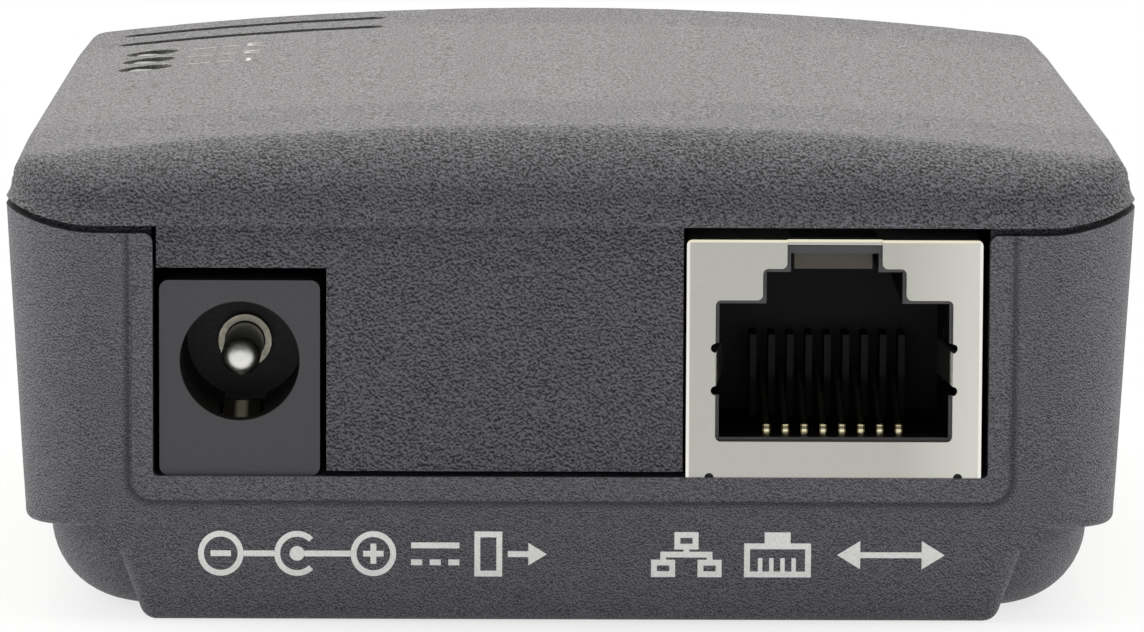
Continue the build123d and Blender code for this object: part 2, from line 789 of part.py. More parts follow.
def jack_shield(end):
    """The folded metal shield: stepped front, top, sides and back, with its sprung tabs."""
    half = jack_width / 2
    inner = half - shield_thickness
    body = block(-half, half, 0, jack_depth, 0, jack_height)
    body = fillet(body.edges().filter_by(Axis.Y).sort_by(Axis.Z)[-2:], shield_thickness)
    ceiling = jack_height - shield_thickness
    back = jack_depth - shield_thickness
    body -= block(-inner, inner, shield_thickness, back, -cut_past, ceiling)
    opening = mouth(0, -cut_past, shield_thickness, jack_height + cut_past, shield_thickness)
    body -= fillet(opening.edges().filter_by(Axis.Y), mouth_corner_radius)
    edge = mouth_width / 2
    through = shield_thickness + shield_clearance
    for side in (-1, 1):
        body -= along_y(side * foot_notch_reach, 0, -cut_past, through, relief_radius)
        for height in (relief_lower, relief_upper):
            body -= along_y(side * edge, height, -cut_past, through, relief_radius)
        body += side_spring(side)
    front = latch_spring_depth
    flap = block(
        -latch_spring_width / 2, latch_spring_width / 2,
        front, front + shield_thickness,
        ceiling - latch_spring_drop, ceiling,
    )
    return jack_place(end) * (body + flap)


def side_spring(side):
    """A tab between the relief cuts, bent back into the mouth and leaning inwards."""
    edge = mouth_width / 2
    outline = make_face(
        Polyline(
            (side * edge, 0),
            (side * (edge + shield_thickness), shield_thickness),
            (side * (edge - side_spring_lean + shield_thickness), side_spring_depth),
            (side * (edge - side_spring_lean), side_spring_depth),
            (side * edge, 0),
        )
    )
    low = relief_lower + relief_radius
    return Pos(0, 0, low) * extrude(outline, relief_upper - relief_radius - low, dir=(0, 0, 1))


def contact_offsets():
    first = -(contact_count - 1) / 2
    return [(first + number) * contact_pitch for number in range(contact_count)]


def jack_insert(end):
    """The moulded insert: cavity, latch recess, spring pockets, contact slots and comb."""
    gap = shield_thickness + shield_clearance
    half = jack_width / 2 - gap
    top = jack_height - gap
    body = block(-half, half, gap, jack_depth - gap, 0, top)
    web_foot = top - latch_web_height
    body -= mouth(insert_lip, 0, cavity_depth, web_foot, latch_recess_depth)
    half_notch = mouth_notch_width / 2 - insert_lip
    web_back = gap + latch_web_depth
    body -= block(-half_notch, half_notch, web_back, latch_recess_depth, web_foot, top + cut_past)
    pocket_low = relief_lower - relief_radius
    pocket_high = relief_upper + relief_radius
    pocket_back = side_spring_depth + shield_thickness
    body -= block(-half - cut_past, half + cut_past, 0, pocket_back, pocket_low, pocket_high)
    floor = mouth_foot + insert_lip
    rib_half = comb_rib_width / 2
    comb_front = cavity_depth - comb_depth
    for number in range(contact_count + 1):
        u = (number - contact_count / 2) * contact_pitch
        body += block(u - rib_half, u + rib_half, comb_front, cavity_depth, floor, comb_height)
    slot_half = contact_width / 2 + contact_slot_clearance
    room = 2 * contact_thickness
    run_floor = contact_run_height - room
    run_roof = contact_run_height + room
    slot_front = contact_front - room
    slot_back = contact_back + room
    for u in contact_offsets():
        left = u - slot_half
        right = u + slot_half
        body -= block(left, right, slot_front, cavity_depth, run_floor, floor)
        body -= block(left, right, cavity_depth - cut_past, slot_back, run_floor, run_roof)
        body -= block(left, right, contact_back - room, slot_back, -cut_past, run_roof)
    return jack_place(end) * body


def jack_contacts(end):
    """Eight bent spring contacts: up from the board, forward under the floor, back over it."""
    contacts = []
    points = [
        (contact_back, 0),
        (contact_back, contact_run_height),
        (contact_front, contact_run_height),
        (contact_front, contact_turn_height),
        (contact_tip_depth, contact_tip_height),
    ]
    for u in contact_offsets():
        place = jack_place(end) * Pos(u, 0, 0)
        contacts.append(strip(points, contact_bend_radius, contact_thickness, contact_width, place))
    return contacts


def lamp_top():
    """The top of a status lamp, just below the crown where it stands."""
    return case_height - crown_radius + sqrt(crown_radius ** 2 - lamp_x ** 2) - lamp_recess


def status_led(y):
    """A round lamp with a domed top and a flange."""
    top = lamp_top()
    foot = top - lamp_length
    body = upright(lamp_x, y, foot, top, lamp_radius)
    body = fillet(body.edges().sort_by(Axis.Z)[-1], lamp_dome_radius)
    return body + upright(lamp_x, y, foot, foot + lamp_flange_height, lamp_flange_radius)


def status_led_leads():
    """The lamps' leads, standing on the board."""
    foot = lamp_top() - lamp_length
    half = lead_size / 2
    leads = []
    for y in lamp_places:
        for side in (-1, 1):
            middle = y + side * lead_pitch / 2
            leads.append(
                block(lamp_x - half, lamp_x + half, middle - half, middle + half, board_top, foot)
            )
    return leads


def transformer_core():
    """The ferrite core: yokes above and below, an outer leg each side and a centre leg."""
    low = board_top + core_lift
    half = core_width / 2
    y0 = core_y - core_depth / 2
    y1 = core_y + core_depth / 2
    body = block(core_x - half, core_x + half, y0, y1, low, low + 2 * core_yoke + core_window_height)
    window_low = low + core_yoke
    for side in (-1, 1):
        inner = core_x + side * core_leg_width / 2
        outer = core_x + side * (half - core_leg_width / 2)
        body -= block(
            min(inner, outer), max(inner, outer), y0 - cut_past, y1 + cut_past,
            window_low, window_low + core_window_height,
        )
    return body


def former_sizes():
    """Half sizes of the coil former's tube, inside and outside, and its two flange levels."""
    bore_x = core_leg_width / 2 + winding_gap
    bore_y = core_depth / 2 + winding_gap
    low = board_top + core_lift + core_yoke
    return bore_x, bore_y, low, low + core_window_height


def transformer_bobbin():
    """The coil former: a tube round the centre leg, two flanges and two rails on the board."""
    bore_x, bore_y, low, high = former_sizes()
    flange_x = core_width / 2 - core_leg_width / 2 - winding_gap
    flange_y = bobbin_depth / 2
    tube_x = bore_x + bobbin_wall
    tube_y = bore_y + bobbin_wall
    place = Pos(core_x, core_y, 0)
    body = block(-tube_x, tube_x, -tube_y, tube_y, low, high)
    for level in (low, high - bobbin_wall):
        body += block(-flange_x, flange_x, -flange_y, flange_y, level, level + bobbin_wall)
    for side in (-1, 1):
        near = side * (flange_y - bobbin_rail)
        away = side * flange_y
        body += block(-flange_x, flange_x, min(near, away), max(near, away), board_top, low)
    body -= block(-bore_x, bore_x, -bore_y, bore_y, low - cut_past, high + cut_past)
    return place * body


def transformer_winding():
    """The wound and taped coil between the former's flanges."""
    bore_x, bore_y, low, high = former_sizes()
    tube_x = bore_x + bobbin_wall
    tube_y = bore_y + bobbin_wall
    outer_x = core_width / 2 - core_leg_width / 2 - 2 * winding_gap
    bottom = low + bobbin_wall
    height = high - bobbin_wall - bottom
    corner = winding_depth / 2 - core_depth / 2 - winding_gap
    outline = RectangleRounded(2 * outer_x, winding_depth, min(corner, outer_x - bobbin_wall))
    body = extrude(Pos(core_x, core_y, bottom) * outline, height)
    return body - Pos(core_x, core_y, 0) * block(-tube_x, tube_x, -tube_y, tube_y, 0, case_height)


def package(x, y, size):
    """A moulded package seated on the board, with its upper edges eased."""
    width, depth, height = size
    body = block(x - width / 2, x + width / 2, y - depth / 2, y + depth / 2, board_top, board_top + height)
    return chamfer(body.faces().sort_by(Axis.Z)[-1].edges(), package_chamfer)


def legs_beside(x, y, size, leg, pitch, count):
    """Flat legs in two rows, along the front and back of a package."""
    width, length, height = leg
    legs = []
    for number in range(count):
        middle = x + (number - (count - 1) / 2) * pitch
        for side in (-1, 1):
            near = y + side * size[1] / 2
            away = near + side * length
            legs.append(
                block(
                    middle - width / 2, middle + width / 2, min(near, away), max(near, away),
                    board_top, board_top + height,
                )
            )
    return legs


def chip_legs(x, y, size, count):
    """The fine legs of a chip or a pulse transformer."""
    return legs_beside(x, y, size, chip_leg_size, chip_leg_pitch, count)


def bridge_legs():
    """The broad legs of the bridge rectifiers."""
    legs = []
    for y in bridge_ys:
        legs += legs_beside(left_x, y, bridge_size, bridge_leg_size, bridge_leg_pitch, bridge_leg_count)
    return legs


def electrolytic(x, y, radius, height):
    """An upright can with an eased top and a crimp above its foot."""
    can = upright(x, y, board_top, board_top + height, radius)
    can = fillet(can.edges().sort_by(Axis.Z)[-1], capacitor_edge_radius)
    groove = Pos(x, y, board_top + capacitor_crimp_height) * Torus(radius, capacitor_crimp_depth)
    return can - groove


def inductor_core():
    """A drum core: two flanges on a neck."""
    x, y = inductor_x, inductor_y
    top = board_top + inductor_height
    body = upright(x, y, board_top, board_top + inductor_flange, inductor_radius)
    body += upright(x, y, board_top, top, inductor_neck_radius)
    return body + upright(x, y, top - inductor_flange, top, inductor_radius)


def inductor_winding():
    """The wire wound round the drum's neck."""
    x, y = inductor_x, inductor_y
    low = board_top + inductor_flange
    high = board_top + inductor_height - inductor_flange
    return upright(x, y, low, high, inductor_wire_radius) - upright(x, y, low, high, inductor_neck_radius)


def switching_transistor():
    """A power transistor package lying on its tab."""
    x, y = left_x, transistor_y
    width, depth, height = transistor_size
    tab_width, tab_length, tab_height = transistor_tab
    front = y + depth / 2
    tab = block(
        x - tab_width / 2, x + tab_width / 2, front, front + tab_length, board_top, board_top + tab_height
    )
    return package(x, y, transistor_size) + tab


def chip_parts():
    """Small surface-mounted parts in a grid."""
    middle = (chip_part_count - 1) / 2
    parts = []
    for row in range(chip_part_count):
        for column in range(chip_part_count):
            x = right_x + (column - middle) * chip_part_pitch_x
            y = chip_grid_y + (row - middle) * chip_part_pitch_y
            parts.append(package(x, y, chip_part_size))
    return parts


def write(name, shape):
    """Write one sub-part, a single solid or a group of separate ones."""
    solids = shape if isinstance(shape, list) else [shape]
    solids = [solid for piece in solids for solid in piece.solids()]
    export_step(Compound(solids) if len(solids) > 1 else solids[0], f"parts/{name}.step")


def write_capacitors():
    """The tall input can and the pair of output cans."""
    x, y = input_capacitor_x, input_capacitor_y
    write("input_capacitor", electrolytic(x, y, input_capacitor_radius, input_capacitor_height))
    cans = []
    for y in output_capacitor_ys:
        cans.append(electrolytic(left_x, y, output_capacitor_radius, output_capacitor_height))
    write("output_capacitors", cans)


def main():
    """Write every sub-part of the splitter."""
    os.makedirs("parts", exist_ok=True)
    write("base_shell", base_shell())
    write("top_cover", top_cover())
    write("case_screws", case_screws())
    write("circuit_board", circuit_board())
    write("dc_jack_housing", dc_jack_housing())
    write("dc_jack_centre_pin", dc_jack_centre_pin())
    write("dc_jack_leaf", dc_jack_leaf())
    write("dc_jack_terminal", dc_jack_terminal())
    for name, end in (("data_jack", -1), ("network_jack", 1)):
        write(f"{name}_shield", jack_shield(end))
        write(f"{name}_insert", jack_insert(end))
        write(f"{name}_contacts", jack_contacts(end))
    for number, y in enumerate(lamp_places, start=1):
        write(f"status_led_{number}", status_led(y))
    write("status_led_leads", status_led_leads())
    write("transformer_core", transformer_core())
    write("transformer_bobbin", transformer_bobbin())
    write("transformer_winding", transformer_winding())
    write("pulse_transformer", package(right_x, pulse_y, pulse_size))
    write("pulse_transformer_legs", chip_legs(right_x, pulse_y, pulse_size, pulse_leg_count))
    write_capacitors()
    write("inductor_core", inductor_core())
    write("inductor_winding", inductor_winding())
    write("bridge_rectifiers", [package(left_x, y, bridge_size) for y in bridge_ys])
    write("bridge_rectifier_legs", bridge_legs())
    write("controller_chip", package(chip_x, chip_y, chip_size))
    write("controller_chip_legs", chip_legs(chip_x, chip_y, chip_size, chip_leg_count))
    write("switching_transistor", switching_transistor())
    write("output_rectifier", package(right_x, rectifier_y, rectifier_size))
    write("chip_parts", chip_parts())


main()
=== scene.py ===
from math import cos, pi, radians, sin

import bmesh
import bpy
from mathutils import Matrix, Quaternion, Vector
from mathutils.bvhtree import BVHTree


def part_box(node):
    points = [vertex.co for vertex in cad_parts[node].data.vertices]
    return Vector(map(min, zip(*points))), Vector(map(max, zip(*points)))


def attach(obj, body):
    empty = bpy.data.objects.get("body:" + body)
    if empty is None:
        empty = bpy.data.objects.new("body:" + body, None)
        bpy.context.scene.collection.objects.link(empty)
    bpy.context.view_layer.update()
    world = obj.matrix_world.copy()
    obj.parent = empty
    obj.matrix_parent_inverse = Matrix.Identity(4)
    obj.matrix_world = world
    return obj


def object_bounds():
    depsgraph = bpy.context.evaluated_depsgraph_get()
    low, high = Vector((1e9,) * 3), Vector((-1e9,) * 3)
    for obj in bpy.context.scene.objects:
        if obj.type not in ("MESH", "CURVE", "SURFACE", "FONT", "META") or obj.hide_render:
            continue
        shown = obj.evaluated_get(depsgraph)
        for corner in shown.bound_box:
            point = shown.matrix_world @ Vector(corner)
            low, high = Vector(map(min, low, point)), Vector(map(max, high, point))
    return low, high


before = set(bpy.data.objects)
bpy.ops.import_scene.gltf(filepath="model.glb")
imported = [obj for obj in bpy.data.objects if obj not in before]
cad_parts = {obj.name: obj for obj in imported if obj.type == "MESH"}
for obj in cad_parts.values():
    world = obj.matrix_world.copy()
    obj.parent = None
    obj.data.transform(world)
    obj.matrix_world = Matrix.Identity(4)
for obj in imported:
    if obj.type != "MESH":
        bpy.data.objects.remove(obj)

cad_low, cad_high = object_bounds()

# Metres. The origin is under the middle of the case, the output end faces -Y, +Z is up.
# The printed marks are laid out in millimetres.
MM = 0.001

# Camera: in front of the output end, a little to the left and above, looking slightly down
CAMERA_PLACE = Vector((-3.3, -444.0, 67.9)) * MM
CAMERA_PITCH = radians(7.25)
CAMERA_YAW = radians(0.475)
CAMERA_ROLL = radians(0.25)
CAMERA_LENS = 239.0
CAMERA_SENSOR = 36.0
CAMERA_CLIP = (0.01, 20.0)

# Floor, which turns plain white between two distances beyond the part
FLOOR_HALF = 3.0
FLOOR_DROP = 0.02 * MM
FLOOR_COLOUR = (0.93, 0.93, 0.93)
FLOOR_ROUGHNESS = 0.9
WHITE_NEAR = 0.0
WHITE_FAR = 0.025
WHITE_LEAST = 0.7

# Surroundings, by the turn from the front horizon (0) over the top (0.5) to the back (1)
SKY_POWER = 3.0
SKY_SIDE = 0.25
ROOM = (0.95, 0.97, 1.0)
PAPER = (1.0, 0.98, 0.93)
WHITE = (1, 1, 1)
SKY = [
    (0.0, 0.32, ROOM), (0.08, 0.26, ROOM), (0.14, 0.05, ROOM), (0.34, 0.05, ROOM),
    (0.43, 0.34, PAPER), (0.50, 1.0, PAPER), (0.68, 1.0, PAPER), (0.80, 0.60, PAPER),
    (1.0, 0.45, PAPER),
]

# Printed marks: their height above the table and the strokes they are made of
PRINT_PROUD = 0.015 * MM
PRINT_WELD = 1e-7
RAY_START = 1.0
MARK_LOW = 2.45
MARK_HIGH = 4.9
MARK_MIDDLE = (MARK_LOW + MARK_HIGH) / 2
STROKE = 0.32
RING_RADIUS = (MARK_HIGH - MARK_LOW) / 2
RING_STEPS = 48
HEAD_SPREAD = 0.62

# Mark under the DC jack: polarity sign, direct-current sign, outlet with an arrow
POWER_LEFT = -20.0
RING_PITCH = 4.1
SIGN_REACH = 0.55
SOCKET_ARC = (45, 315)
SOCKET_STEPS = 36
DOT = 0.4
DOT_STEPS = 32
SIGN_GAP = 0.8
DIRECT_WIDTH = 2.6
DIRECT_RISE = 0.3
DASH_COUNT = 3
DASH_PITCH = 1.0
DASH_WIDTH = 0.6
OUTLET_WIDTH = 1.5
OUTLET_ARROW = (1.8, 3.9)
OUTLET_HEAD = 1.0

# Mark under the data jack: linked stations, socket outline with its contacts, two-way arrow
DATA_LEFT = 4.35
STATION_HALF = 0.65
STATION_HEIGHT = 0.95
STATION_TOP = 1.9
STATIONS_BELOW = (0.65, 3.15)
STATION_LINE = (0.5, 3.3)
SOCKET_PLACE = 5.0
SOCKET_WIDTH = 3.6
SOCKET_TAB = (1.1, 2.5)
SOCKET_TAB_HEIGHT = 0.6
PIN_COUNT = 4
PIN_FIRST = 0.75
PIN_PITCH = 0.6
PIN_WIDTH = 0.24
PIN_TOP = 1.05
TWO_WAY_PLACE = 12.9
TWO_WAY_REACH = 2.9
TWO_WAY_HEAD = 1.25

# Labels beside the lamps, across the cover
LEADER_DASHES = ((-22.7, -21.2), (-20.8, -19.8))
LEADER_WIDTH = 0.2
NUMBER_MIDDLE = -18.9
NUMBER_SIZE = 2.6
NUMBER_RISE = 0.35 * NUMBER_SIZE

# Noise that every grain is made of
NOISE_DETAIL = 2.0
NOISE_ROUGHNESS = 0.55
GRAIN_RANGE = (0.3, 0.7)
PLASTIC_IOR = 1.5

# Mouldings: the grain is set off against a copy of it shifted a little, which paints light on the bumps'
# upper sides and shade under them, as if lit from above
COVER = dict(
    colour=(0.118, 0.115, 0.135), grain=0.145 * MM, depth=1.0, bump=0.7 * MM, roughness=(0.60, 0.22),
)
BASE = dict(
    colour=(0.104, 0.101, 0.118), grain=0.095 * MM, depth=0.9, bump=0.16 * MM, roughness=(0.55, 0.35),
    pads=True,
)
CASE_NOISE = 0.6
PAINTED_LIGHT_SHIFT = (0.1, 0, 0.5)
PAINTED_RELIEF_RANGE = (0.29, 0.71)
CLOUD_SIZE = 9
CLOUD_NOISE = 0.5
CLOUD_LIGHT = 0.12

# From here on, a pair of distances or slopes is a ramp: nothing at the first, all at the second.
# A pair of colours, or of roughness values, belongs to the grain's low and high parts.

# The end strips beyond the creases are a little duller
STRIP = (23.9 * MM, 24.2 * MM)
STRIP_DULL = 0.06

# Walls of the vents and lamp holes, painted pale as painted light where they lie in shade
HOLES_MIDDLE_X = -19.3 * MM
HOLES_MIDDLE_Y = 19.0 * MM
HOLES_ACROSS = (8.6 * MM, 8.5 * MM)
HOLES_ALONG = (14.2 * MM, 14.1 * MM)
HOLES_ABOVE = (20.0 * MM, 20.1 * MM)
HOLES_UPRIGHT = (0.7, 0.6)
HOLES_PAINTED_LIGHT = (0.26, 0.26, 0.25)

# Painted shadow in a line round the pads that carry the sockets
PAD_HALF = 23.65 * MM
PAD_FOOT = 6.6 * MM
PAD_CORNER = 1.2 * MM
PAD_ENDS = (39.0 * MM, 39.5 * MM)
PAD_INSIDE = (-0.06 * MM, 0.04 * MM)
PAD_OUTSIDE = (0.42 * MM, 0.16 * MM)
PAD_SHADOW_STRENGTH = 0.55
PAD_SHADOW_COLOUR = (0, 0, 0)

# Round DC jack, from its bore's axis: painted shade in its bore and in the pin's groove, a painted
# highlight down the leaf
BORE = (3.24 * MM, 3.22 * MM)
JACK_FACE = ((0.041, 0.041, 0.048), (0.053, 0.053, 0.061))
BORE_SHADE_COLOUR = (0.003, 0.003, 0.003)
GROOVE_INSIDE = (1.02 * MM, 1.04 * MM)
GROOVE_OUTSIDE = (1.12 * MM, 1.10 * MM)
COLLAR = (1.10 * MM, 1.12 * MM)
GROOVE_BACK = (32.9 * MM, 32.85 * MM)
STEEL = ((0.74, 0.73, 0.68), (0.90, 0.89, 0.84))
COLLAR_COLOUR = (0.52, 0.50, 0.40)
GROOVE_SHADE_COLOUR = (0.01, 0.01, 0.01)
LEAF_HIGHLIGHT = (0.16 * MM, 0.4 * MM)
BRASS = ((0.78, 0.72, 0.48), (0.92, 0.86, 0.60))
LEAF_SHADE_COLOUR = (0.05, 0.045, 0.03)

# Shields of the modular jacks: cheek with a painted sheen, folded rims with painted highlights, sheared
# edges, flap in painted shade, springs painted bright
JACK_MIDDLE = 14.1 * MM
NICKEL = ((0.49, 0.48, 0.44), (0.57, 0.56, 0.51))
NICKEL_GRAIN = 0.35 * MM
NICKEL_STRETCH = (1, 1, 14)
NICKEL_ROUGHNESS = (0.3, 0.42)
NICKEL_BUMP = 0.002 * MM
FRONTAL = (0.8, 0.9)
CHEEK_MIDDLE = 22.0 * MM
CHEEK = (4.5 * MM, 0.5 * MM)
CHEEK_SHEEN_COLOUR = (0.71, 0.70, 0.64)
RIM_SIDE = (7.72 * MM, 7.80 * MM)
RIM_HIGHLIGHT_COLOUR = (0.97, 0.95, 0.88)
RIM_TOP = (20.58 * MM, 20.64 * MM)
RIM_TOP_HIGHLIGHT_COLOUR = (0.98, 0.92, 0.70)
EDGE = (40.55 * MM, 40.57 * MM)
EDGE_SLOPE = (0.55, 0.45)
EDGE_COLOUR = (0.80, 0.66, 0.36)
FLAP_ACROSS = (2.4 * MM, 2.3 * MM)
FLAP_ABOVE = (18.5 * MM, 18.6 * MM)
FLAP_BEHIND = (39.5 * MM, 39.4 * MM)
FLAP_SHADE_COLOUR = (0.085, 0.08, 0.065)
SPRING_SLOPE = (0.5, 0.6)
SPRING_ACROSS = (7.35 * MM, 7.25 * MM)
SPRING_BRIGHT = (39.6 * MM, 40.3 * MM)
SPRING_LIGHT_COLOUR = (0.90, 0.88, 0.82)
SPRING_METALLIC = 0.2

# Inserts and contacts of the modular jacks
INSERT = ((0.003, 0.003, 0.005), (0.006, 0.006, 0.009))
INSERT_RIM = (40.45 * MM, 40.50 * MM)
INSERT_RIM_COLOUR = (0.075, 0.075, 0.083)
CONTACT_PITCH = 1.016 * MM
CONTACT_HALF = 0.2 * MM
CONTACT_SHINE = (0.10 * MM, 0.14 * MM)
GILT = ((0.95, 0.84, 0.50), (1.0, 0.94, 0.68))
GILT_SHADE = (0.16, 0.12, 0.05)
GRAINED_BUMP = 0.003 * MM

# Lamps and circuit board
LENS = ((0.10, 0.11, 0.10), (0.16, 0.17, 0.15))
LENS_GRAIN = 0.6 * MM
LENS_ROUGHNESS = 0.3
LENS_CLEAR = 0.35
BOARD_TRACKS = {
    "Color1": (0.012, 0.085, 0.030, 1), "Color2": (0.018, 0.110, 0.040, 1),
    "Mortar": (0.006, 0.045, 0.018, 1), "Scale": 90.0,
}
BOARD_WEAVE = 0.5 * MM
BOARD_SHADE = 0.35
BOARD_COLOUR = (0.02, 0.12, 0.05)
BOARD_ROUGHNESS = (0.25, 0.4)
BOARD_BUMP = 0.03 * MM

PLAIN_FINISHES = {
    "tin": dict(
        name="tinned_finish", dark=(0.55, 0.55, 0.56), light=(0.70, 0.70, 0.71),
        grain=0.4 * MM, bump=0.01 * MM, roughness=(0.3, 0.5), metallic=1.0,
    ),
    "screw": dict(
        name="screw_steel_finish", dark=(0.09, 0.09, 0.095), light=(0.16, 0.16, 0.165),
        grain=0.3 * MM, bump=0.006 * MM, roughness=(0.3, 0.5), metallic=1.0,
    ),
    "ferrite": dict(
        name="ferrite_finish", dark=(0.030, 0.030, 0.032), light=(0.055, 0.055, 0.058),
        grain=0.25 * MM, bump=0.02 * MM, roughness=(0.5, 0.7),
    ),
    "former": dict(
        name="former_finish", dark=(0.015, 0.015, 0.015), light=(0.028, 0.028, 0.028),
        grain=0.4 * MM, bump=0.005 * MM, roughness=(0.4, 0.55),
    ),
    "tape": dict(
        name="winding_tape_finish", dark=(0.55, 0.36, 0.02), light=(0.72, 0.50, 0.05),
        grain=1.5 * MM, bump=0.02 * MM, roughness=(0.2, 0.35), stretch=(1, 1, 3),
    ),
    "copper": dict(
        name="copper_wire_finish", dark=(0.45, 0.16, 0.05), light=(0.65, 0.27, 0.10),
        grain=0.3 * MM, bump=0.05 * MM, roughness=(0.2, 0.3), metallic=1.0, stretch=(0.05, 0.05, 1),
    ),
    "sleeve": dict(
        name="can_sleeve_finish", dark=(0.012, 0.014, 0.028), light=(0.020, 0.023, 0.045),
        grain=2 * MM, bump=0.01 * MM, roughness=(0.2, 0.35),
    ),
    "epoxy": dict(
        name="package_epoxy_finish", dark=(0.014, 0.014, 0.015), light=(0.026, 0.026, 0.028),
        grain=0.2 * MM, bump=0.008 * MM, roughness=(0.45, 0.6),
    ),
    "label": dict(
        name="label_finish", dark=(0.46, 0.46, 0.45), light=(0.58, 0.58, 0.57),
        grain=0.12 * MM, bump=0.01 * MM, roughness=(0.5, 0.65),
    ),
    "print": dict(
        name="print_finish", dark=(0.80, 0.80, 0.79), light=(0.95, 0.95, 0.94),
        grain=0.12 * MM, bump=0.01 * MM, roughness=(0.5, 0.65),
    ),
}

NODE_FINISHES = {
    "cover": ["top_cover"],
    "base": ["base_shell"],
    "jack_black": ["dc_jack_housing"],
    "insert_black": ["data_jack_insert", "network_jack_insert"],
    "nickel": ["data_jack_shield", "network_jack_shield"],
    "gold": ["data_jack_contacts", "network_jack_contacts"],
    "steel": ["dc_jack_centre_pin"],
    "brass": ["dc_jack_leaf"],
    "tin": [
        "dc_jack_terminal", "status_led_leads", "pulse_transformer_legs", "bridge_rectifier_legs",
        "controller_chip_legs",
    ],
    "screw": ["case_screws"],
    "ferrite": ["transformer_core", "inductor_core"],
    "former": ["transformer_bobbin"],
    "tape": ["transformer_winding"],
    "copper": ["inductor_winding"],
    "sleeve": ["input_capacitor", "output_capacitors"],
    "epoxy": [
        "pulse_transformer", "bridge_rectifiers", "controller_chip", "switching_transistor",
        "output_rectifier", "chip_parts",
    ],
    "lens": ["status_led_1", "status_led_2", "status_led_3"],
    "board": ["circuit_board"],
}


def feed(node, links):
    """Link outputs to a node's inputs."""
    for key, source in links.items():
        node.id_data.links.new(source, node.inputs[key])


def adder(tree):
    """A function that adds a node to a tree, with links to its inputs and values."""
    def add(kind, links=None, **values):
        node = tree.nodes.new(kind)
        for key, value in values.items():
            if key in node.inputs:
                node.inputs[key].default_value = value
            else:
                setattr(node, key, value)
        feed(node, links or {})
        return node

    return add


def new_finish(name):
    """A new material, its shader node and the function that adds nodes to it."""
    material = bpy.data.materials.new(name)
    material.use_nodes = True
    tree = material.node_tree
    return material, tree.nodes["Principled BSDF"], adder(tree)


def noise(add, size, roughness=NOISE_ROUGHNESS, stretch=(1, 1, 1), shift=(0, 0, 0)):
    """Noise in the object's own space, with features of about a size."""
    coordinates = add("ShaderNodeTexCoord").outputs["Object"]
    mapping = add("ShaderNodeMapping", {"Vector": coordinates}, Scale=stretch, Location=shift)
    return add(
        "ShaderNodeTexNoise", {"Vector": mapping.outputs["Vector"]},
        Scale=1 / size, Detail=NOISE_DETAIL, Roughness=roughness,
    ).outputs["Fac"]


def spread(add, source, low, high, to_low, to_high):
    """A value mapped from one range to another and kept inside it."""
    node = add("ShaderNodeMapRange", {"Value": source})
    for key, value in zip(("From Min", "From Max", "To Min", "To Max"), (low, high, to_low, to_high)):
        node.inputs[key].default_value = value
    return node.outputs["Result"]


def window(add, source, start, full):
    """0 up to where a value passes the start and 1 from where it is full."""
    return spread(add, source, start, full, 0, 1)


def maths(add, operation, *values):
    """Arithmetic on values, each a number or another node's output."""
    node = add("ShaderNodeMath", operation=operation)
    for socket, value in zip(node.inputs, values):
        if isinstance(value, float):
            socket.default_value = value
        else:
            node.id_data.links.new(value, socket)
    return node.outputs["Value"]


def product(add, *factors):
    """The product of factors."""
    result = factors[0]
    for factor in factors[1:]:
        result = maths(add, "MULTIPLY", result, factor)
    return result


def along(add, axis):
    """The place along an axis of the object's own space."""
    coordinates = add("ShaderNodeTexCoord").outputs["Object"]
    return add("ShaderNodeSeparateXYZ", {"Vector": coordinates}).outputs[axis]


def away(add, axis, middle=0.0):
    """Distance along an axis from a middle."""
    return maths(add, "ABSOLUTE", maths(add, "SUBTRACT", along(add, axis), middle))


def flat_distance(add, scale, shift=(0, 0, 0)):
    """Distance from the origin, after the object's own space is scaled and shifted."""
    coordinates = add("ShaderNodeTexCoord").outputs["Object"]
    flat = add("ShaderNodeMapping", {"Vector": coordinates}, Scale=scale, Location=shift)
    length = add("ShaderNodeVectorMath", {"Vector": flat.outputs["Vector"]}, operation="LENGTH")
    return length.outputs["Value"]


def facing(add, axis):
    """How far a surface faces along an axis, either way."""
    normal = add("ShaderNodeNewGeometry").outputs["True Normal"]
    return maths(add, "ABSOLUTE", add("ShaderNodeSeparateXYZ", {"Vector": normal}).outputs[axis])


def colour_socket(sockets, name):
    """The colour socket of a name, which a mix node shares among kinds of value."""
    return [socket for socket in sockets if socket.name == name and socket.type == "RGBA"][0]


def blend_colours(add, factor, first, second):
    """A mix of two colours, each a colour or another node's output."""
    node = add("ShaderNodeMix", data_type="RGBA")
    feed(node, {"Factor": factor})
    for name, value in (("A", first), ("B", second)):
        socket = colour_socket(node.inputs, name)
        if isinstance(value, tuple):
            socket.default_value = (*value, 1)
        else:
            node.id_data.links.new(value, socket)
    return colour_socket(node.outputs, "Result")


def mix_shaders(add, factor, first, second):
    """A mix of two shaders, whose sockets have one name and are told by their order."""
    return add("ShaderNodeMixShader", {0: factor, 1: first, 2: second}).outputs["Shader"]


def relief(add, height, bump):
    """A normal with bumps of a height."""
    return add("ShaderNodeBump", {"Height": height}, Strength=1.0, Distance=bump).outputs["Normal"]


def plain_finish(name, dark, light, grain, bump, roughness, metallic=0.0, stretch=(1, 1, 1)):
    """A surface with fine variation in colour, gloss and height."""
    material, shader, add = new_finish(name)
    fine = noise(add, grain, stretch=stretch)
    feed(shader, {
        "Base Color": blend_colours(add, window(add, fine, *GRAIN_RANGE), dark, light),
        "Roughness": spread(add, fine, *GRAIN_RANGE, *roughness),
        "Normal": relief(add, fine, bump),
    })
    shader.inputs["Metallic"].default_value = metallic
    shader.inputs["IOR"].default_value = PLASTIC_IOR
    return material


